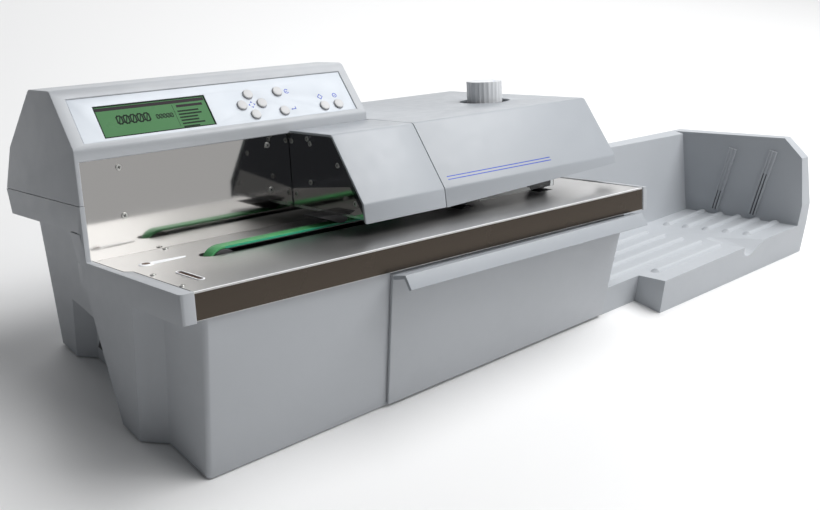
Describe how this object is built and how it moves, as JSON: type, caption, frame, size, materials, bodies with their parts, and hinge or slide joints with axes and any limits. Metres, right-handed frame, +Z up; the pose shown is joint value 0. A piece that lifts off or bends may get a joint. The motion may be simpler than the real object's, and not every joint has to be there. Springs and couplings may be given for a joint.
{
  "type": "automatic desktop envelope opener",
  "caption": "Desktop mail machine that feeds envelopes along a tilted steel deck past an edge cutter, with sloping control head, hinged cover, chip drawer and output tray.",
  "frame": {"origin": "centre of the bounding box's footprint, on the table", "axes": "+X along the feed towards the output tray, +Y towards the rear, +Z up"},
  "size_m": [1.031, 0.4433, 0.3285],
  "materials": {
    "housing": "fine-grained moulded grey plastic",
    "cover": "satin moulded grey plastic",
    "tray": "fine-grained moulded grey plastic",
    "panel": "smooth white-blue membrane panel",
    "button": "satin light grey",
    "screen": "green LCD behind a clear window",
    "board": "green circuit board",
    "steel": "brushed stainless steel",
    "mirror_steel": "mirror-polished stainless steel",
    "dark_steel": "dark plated steel",
    "belt": "green ribbed belt",
    "black_rubber": "black rubber",
    "black_plastic": "black moulded plastic",
    "clear": "clear plastic guard"
  },
  "bodies": {
    "base": {"base_housing": "housing", "chassis_plate": "dark_steel", "control_board": "board", "cutter_frame": "dark_steel", "cutter_motor": "dark_steel", "deck_end_cap": "housing", "deck_plate": "steel", "drawer_runner_left": "dark_steel", "drawer_runner_right": "dark_steel", "feed_belt": "belt", "feed_motor": "dark_steel", "feeder_cover": "cover", "fence_plate": "mirror_steel", "foot_front_left": "black_rubber", "foot_front_right": "black_rubber", "foot_rear_left": "black_rubber", "foot_rear_right": "black_rubber", "gate_pin": "steel", "head_housing": "housing", "hinge_block_left": "dark_steel", "hinge_block_right": "dark_steel", "keypad_panel": "panel", "lcd_module": "screen", "output_tray": "tray", "pinch_beam": "dark_steel", "power_inlet": "black_plastic", "power_supply": "steel", "registration_wall": "mirror_steel", "transport_frame": "dark_steel", "tray_rail_front": "tray", "tray_rail_rear": "tray"},
    "power_switch": {"power_switch": "black_plastic"},
    "cutter_cover": {"cutter_cover": "cover", "clear_guard": "clear", "hinge_knuckle_left": "dark_steel", "hinge_knuckle_right": "dark_steel"},
    "retard_gate": {"retard_gate": "black_plastic", "retard_pad": "belt"},
    "feed_drive_pulley": {"feed_drive_pulley": "black_plastic"},
    "feed_idle_pulley": {"feed_idle_pulley": "black_plastic"},
    "cutter_wheel": {"cutter_wheel": "steel"},
    "depth_knob": {"depth_knob": "button", "depth_shaft": "steel"},
    "drawer": {"drawer_front": "housing", "drawer_handle": "cover", "chip_bin": "black_plastic"},
    "button_up": {"button_up": "button"},
    "button_left": {"button_left": "button"},
    "button_right": {"button_right": "button"},
    "button_down": {"button_down": "button"},
    "button_back": {"button_back": "button"},
    "button_enter": {"button_enter": "button"},
    "button_start": {"button_start": "button"},
    "button_stop": {"button_stop": "button"},
    "drive_roller_1": {"drive_roller_1": "black_rubber"},
    "pinch_roller_1": {"pinch_roller_1": "black_rubber"},
    "pinch_arm_1": {"pinch_arm_1": "dark_steel"},
    "drive_roller_2": {"drive_roller_2": "black_rubber"},
    "pinch_roller_2": {"pinch_roller_2": "black_rubber"},
    "pinch_arm_2": {"pinch_arm_2": "dark_steel"}
  },
  "joints": [
    {"name": "button_up_press", "type": "slide", "parent": "base", "child": "button_up", "axis": [-0.0381, 0.6303, -0.7754], "range_m": [0, 0.0012], "stiffness_N_per_m": 150, "springref_m": -0.0008},
    {"name": "button_left_press", "type": "slide", "parent": "base", "child": "button_left", "axis": [-0.0381, 0.6303, -0.7754], "range_m": [0, 0.0012], "stiffness_N_per_m": 150, "springref_m": -0.0008},
    {"name": "button_right_press", "type": "slide", "parent": "base", "child": "button_right", "axis": [-0.0381, 0.6303, -0.7754], "range_m": [0, 0.0012], "stiffness_N_per_m": 150, "springref_m": -0.0008},
    {"name": "button_down_press", "type": "slide", "parent": "base", "child": "button_down", "axis": [-0.0381, 0.6303, -0.7754], "range_m": [0, 0.0012], "stiffness_N_per_m": 150, "springref_m": -0.0008},
    {"name": "button_back_press", "type": "slide", "parent": "base", "child": "button_back", "axis": [-0.0381, 0.6303, -0.7754], "range_m": [0, 0.0012], "stiffness_N_per_m": 150, "springref_m": -0.0008},
    {"name": "button_enter_press", "type": "slide", "parent": "base", "child": "button_enter", "axis": [-0.0381, 0.6303, -0.7754], "range_m": [0, 0.0012], "stiffness_N_per_m": 150, "springref_m": -0.0008},
    {"name": "button_start_press", "type": "slide", "parent": "base", "child": "button_start", "axis": [-0.0381, 0.6303, -0.7754], "range_m": [0, 0.0012], "stiffness_N_per_m": 150, "springref_m": -0.0008},
    {"name": "button_stop_press", "type": "slide", "parent": "base", "child": "button_stop", "axis": [-0.0381, 0.6303, -0.7754], "range_m": [0, 0.0012], "stiffness_N_per_m": 150, "springref_m": -0.0008},
    {"name": "power_switch_rock", "type": "hinge", "parent": "base", "child": "power_switch", "pos_m": [-0.47002, 0.0801, 0.031], "axis": [0, 1, 0], "range_deg": [-12, 0]},
    {"name": "cutter_cover_hinge", "type": "hinge", "parent": "base", "child": "cutter_cover", "pos_m": [-0.13037, 0.19561, 0.17024], "axis": [-0.998, 0.0148, 0.061], "range_deg": [0, 70]},
    {"name": "retard_gate_swing", "type": "hinge", "parent": "base", "child": "retard_gate", "pos_m": [-0.23902, -0.04557, 0.20675], "axis": [0, -0.972, 0.2351], "range_deg": [0, 6], "stiffness_Nm_per_rad": 0.08, "springref_deg": -8.59},
    {"name": "feed_drive_spin", "type": "hinge", "parent": "base", "child": "feed_drive_pulley", "pos_m": [-0.16448, -0.05911, 0.15077], "axis": [0, 0.972, -0.2351], "continuous": true},
    {"name": "feed_idle_spin", "type": "hinge", "parent": "base", "child": "feed_idle_pulley", "pos_m": [-0.39503, -0.0557, 0.16487], "axis": [0, 0.972, -0.2351], "continuous": true},
    {"name": "cutter_spin", "type": "hinge", "parent": "base", "child": "cutter_wheel", "pos_m": [0.08121, 0.02712, 0.13339], "axis": [0.0628, 0.2347, 0.97], "continuous": true},
    {"name": "depth_knob_turn", "type": "hinge", "parent": "base", "child": "depth_knob", "pos_m": [0.08762, 0.05106, 0.23234], "axis": [0.0628, 0.2347, 0.97], "range_deg": [-135, 135]},
    {"name": "drawer_slide", "type": "slide", "parent": "base", "child": "drawer", "axis": [0, -1, 0], "range_m": [0, 0.155]},
    {"name": "drive_roller_1_spin", "type": "hinge", "parent": "base", "child": "drive_roller_1", "pos_m": [-0.07447, -0.08112, 0.15337], "axis": [0, 0.972, -0.2351], "continuous": true},
    {"name": "pinch_arm_1_lift", "type": "slide", "parent": "base", "child": "pinch_arm_1", "axis": [0.0628, 0.2347, 0.97], "range_m": [0, 0.005], "stiffness_N_per_m": 400, "springref_m": -0.003},
    {"name": "pinch_roller_1_spin", "type": "hinge", "parent": "pinch_arm_1", "child": "pinch_roller_1", "pos_m": [-0.07307, -0.07588, 0.175], "axis": [0, 0.972, -0.2351], "continuous": true},
    {"name": "drive_roller_2_spin", "type": "hinge", "parent": "base", "child": "drive_roller_2", "pos_m": [0.06225, -0.08314, 0.145], "axis": [0, 0.972, -0.2351], "continuous": true},
    {"name": "pinch_arm_2_lift", "type": "slide", "parent": "base", "child": "pinch_arm_2", "axis": [0.0628, 0.2347, 0.97], "range_m": [0, 0.005], "stiffness_N_per_m": 400, "springref_m": -0.003},
    {"name": "pinch_roller_2_spin", "type": "hinge", "parent": "pinch_arm_2", "child": "pinch_roller_2", "pos_m": [0.06366, -0.07791, 0.16664], "axis": [0, 0.972, -0.2351], "continuous": true}
  ],
  "couplings": [
    {"joint": "feed_idle_spin", "follows": "feed_drive_spin", "ratio": 1},
    {"joint": "drive_roller_1_spin", "follows": "feed_drive_spin", "ratio": 1.71},
    {"joint": "pinch_roller_1_spin", "follows": "feed_drive_spin", "ratio": -2},
    {"joint": "drive_roller_2_spin", "follows": "feed_drive_spin", "ratio": 1.71},
    {"joint": "pinch_roller_2_spin", "follows": "feed_drive_spin", "ratio": -2}
  ]
}
